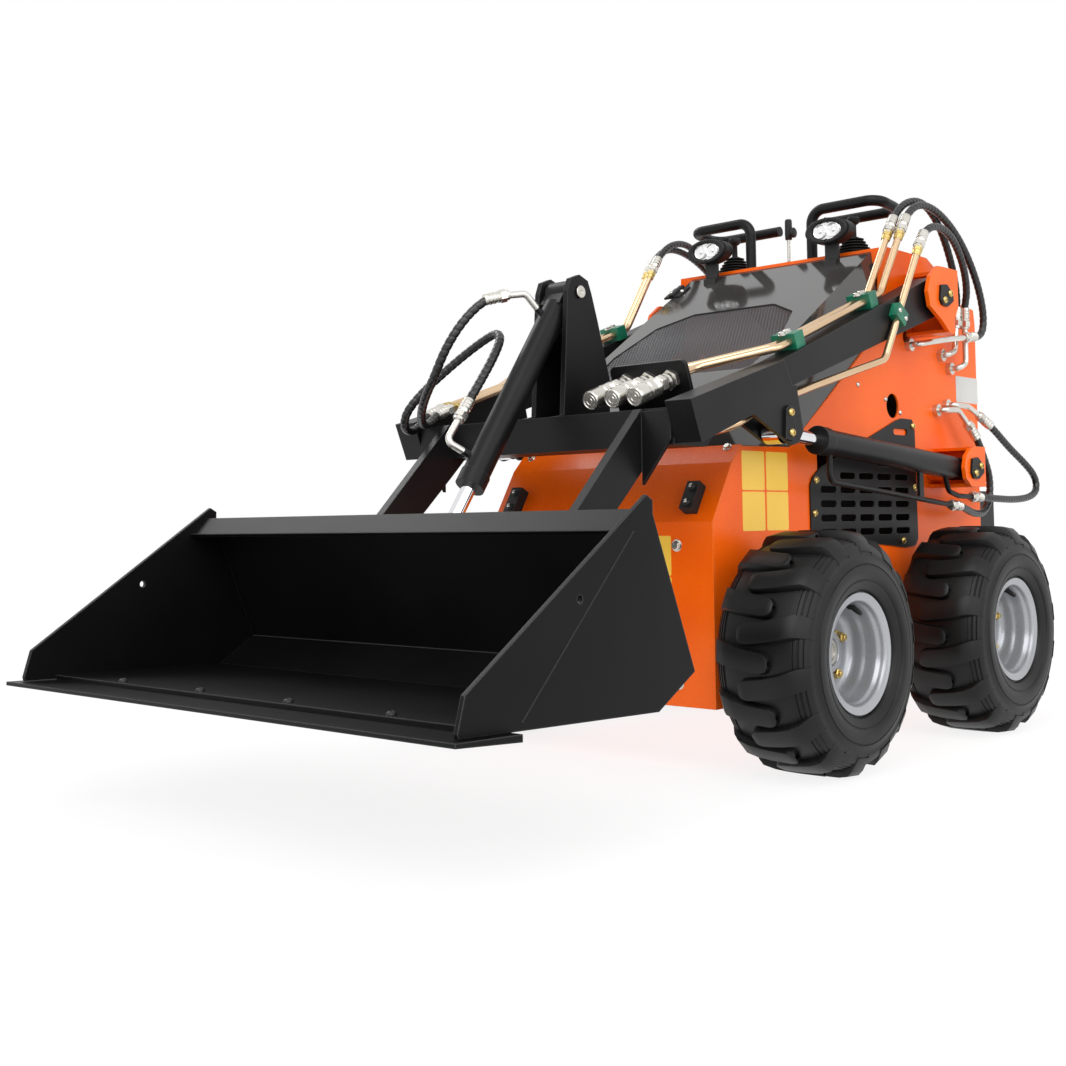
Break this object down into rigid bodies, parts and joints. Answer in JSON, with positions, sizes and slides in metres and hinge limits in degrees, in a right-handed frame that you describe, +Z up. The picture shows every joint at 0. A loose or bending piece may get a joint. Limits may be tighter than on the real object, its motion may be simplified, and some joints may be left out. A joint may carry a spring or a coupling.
{
  "type": "skid steer loader",
  "caption": "Compact wheeled skid steer loader with lift arms, bucket, hydraulic cylinders, tall control bars and a rear footboard.",
  "frame": {"origin": "on the ground under the middle of the whole machine", "axes": "+X to the machine's left, -Y to its front (bucket), +Z up"},
  "size_m": [1.19, 2.366, 1.2589],
  "materials": {
    "orange_paint": "gloss",
    "black_paint": "satin",
    "hood_black": "gloss",
    "mesh_steel": "satin",
    "lamp_black": "matte",
    "rubber_black": "matte",
    "engine_grey": "matte",
    "plain_steel": "satin",
    "silver_steel": "satin",
    "zinc_line": "satin",
    "rod_chrome": "polished",
    "bucket_black": "satin",
    "rim_silver": "satin",
    "tyre_rubber": "matte",
    "hose_black": "satin",
    "clamp_green": "satin"
  },
  "bodies": {
    "chassis": {"chassis_shell": "orange_paint", "front_panel": "orange_paint", "rear_panel": "black_paint", "engine_hood": "hood_black", "mesh_screen": "mesh_steel", "side_guards": "black_paint", "boom_brackets": "orange_paint", "cylinder_brackets": "orange_paint", "chassis_pins": "black_paint", "handrails": "black_paint", "work_lamps": "lamp_black", "control_sticks": "rubber_black", "rubber_blocks": "rubber_black", "operator_platform": "black_paint", "engine_block": "engine_grey", "axle_stubs": "plain_steel", "hose_elbows": "silver_steel", "upper_hoses_left": "hose_black", "upper_hoses_right": "hose_black", "lower_hoses_left": "hose_black", "lower_hoses_right": "hose_black"},
    "boom": {"boom_arms": "black_paint", "cross_beam": "black_paint", "boom_legs": "black_paint", "tilt_mast": "black_paint", "coupler_bracket": "black_paint", "quick_couplers": "silver_steel", "boom_pipes": "zinc_line", "boom_pins": "plain_steel", "pipe_clamps": "clamp_green", "tilt_hoses": "hose_black"},
    "lift_cylinder_left": {"lift_barrel_left": "black_paint"},
    "lift_cylinder_right": {"lift_barrel_right": "black_paint"},
    "lift_ram_left": {"lift_rod_left": "rod_chrome"},
    "lift_ram_right": {"lift_rod_right": "rod_chrome"},
    "tilt_cylinder": {"tilt_barrel": "black_paint"},
    "tilt_ram": {"tilt_rod": "rod_chrome"},
    "bucket": {"bucket_shell": "bucket_black", "bucket_sides": "bucket_black", "cutting_edge": "bucket_black", "bucket_mount": "bucket_black", "bucket_pins": "plain_steel"},
    "wheel_front_left": {"rim_front_left": "rim_silver", "tyre_front_left": "tyre_rubber"},
    "wheel_front_right": {"rim_front_right": "rim_silver", "tyre_front_right": "tyre_rubber"},
    "wheel_rear_left": {"rim_rear_left": "rim_silver", "tyre_rear_left": "tyre_rubber"},
    "wheel_rear_right": {"rim_rear_right": "rim_silver", "tyre_rear_right": "tyre_rubber"}
  },
  "joints": [
    {"name": "boom_lift", "type": "hinge", "parent": "chassis", "child": "boom", "pos_m": [0, 0.555, 1.003], "axis": [-1, 0, 0], "range_deg": [-6, 75], "deforming": ["upper_hoses_left", "upper_hoses_right"]},
    {"name": "bucket_tilt", "type": "hinge", "parent": "boom", "child": "bucket", "pos_m": [0, -0.6284, 0.339], "axis": [1, 0, 0], "range_deg": [-20, 110]},
    {"name": "lift_cylinder_swing_left", "type": "hinge", "parent": "chassis", "child": "lift_cylinder_left", "pos_m": [0.37, 0.69, 0.604], "axis": [-1, 0, 0], "range_deg": [-4.34, 52], "deforming": ["lower_hoses_left"]},
    {"name": "lift_ram_slide_left", "type": "slide", "parent": "lift_cylinder_left", "child": "lift_ram_left", "axis": [0, -0.9973, 0.0737], "range_m": [-0.0281, 0.3452]},
    {"name": "lift_cylinder_swing_right", "type": "hinge", "parent": "chassis", "child": "lift_cylinder_right", "pos_m": [-0.37, 0.69, 0.604], "axis": [-1, 0, 0], "range_deg": [-4.34, 52], "deforming": ["lower_hoses_right"]},
    {"name": "lift_ram_slide_right", "type": "slide", "parent": "lift_cylinder_right", "child": "lift_ram_right", "axis": [0, -0.9973, 0.0737], "range_m": [-0.0281, 0.3452]},
    {"name": "tilt_cylinder_swing", "type": "hinge", "parent": "boom", "child": "tilt_cylinder", "pos_m": [0, -0.305, 0.955], "axis": [1, 0, 0], "range_deg": [-0.3, 1.2], "deforming": ["tilt_hoses"]},
    {"name": "tilt_ram_slide", "type": "slide", "parent": "tilt_cylinder", "child": "tilt_ram", "axis": [0, -0.5654, -0.8248], "range_m": [-0.0319, 0.1733]},
    {"name": "wheel_front_left_spin", "type": "hinge", "parent": "chassis", "child": "wheel_front_left", "pos_m": [0.4475, -0.08, 0.234], "axis": [1, 0, 0], "continuous": true},
    {"name": "wheel_front_right_spin", "type": "hinge", "parent": "chassis", "child": "wheel_front_right", "pos_m": [-0.4475, -0.08, 0.234], "axis": [1, 0, 0], "continuous": true},
    {"name": "wheel_rear_left_spin", "type": "hinge", "parent": "chassis", "child": "wheel_rear_left", "pos_m": [0.4475, 0.61, 0.234], "axis": [1, 0, 0], "continuous": true},
    {"name": "wheel_rear_right_spin", "type": "hinge", "parent": "chassis", "child": "wheel_rear_right", "pos_m": [-0.4475, 0.61, 0.234], "axis": [1, 0, 0], "continuous": true}
  ],
  "couplings": [
    {"joint": "lift_cylinder_swing_left", "follows": "boom_lift", "ratio": 0.6906},
    {"joint": "lift_ram_slide_left", "follows": "boom_lift", "m_per_rad": 0.26336},
    {"joint": "lift_cylinder_swing_right", "follows": "boom_lift", "ratio": 0.6906},
    {"joint": "lift_ram_slide_right", "follows": "boom_lift", "m_per_rad": 0.26336},
    {"joint": "tilt_cylinder_swing", "follows": "bucket_tilt", "ratio": 0.01},
    {"joint": "tilt_ram_slide", "follows": "bucket_tilt", "m_per_rad": 0.09}
  ]
}
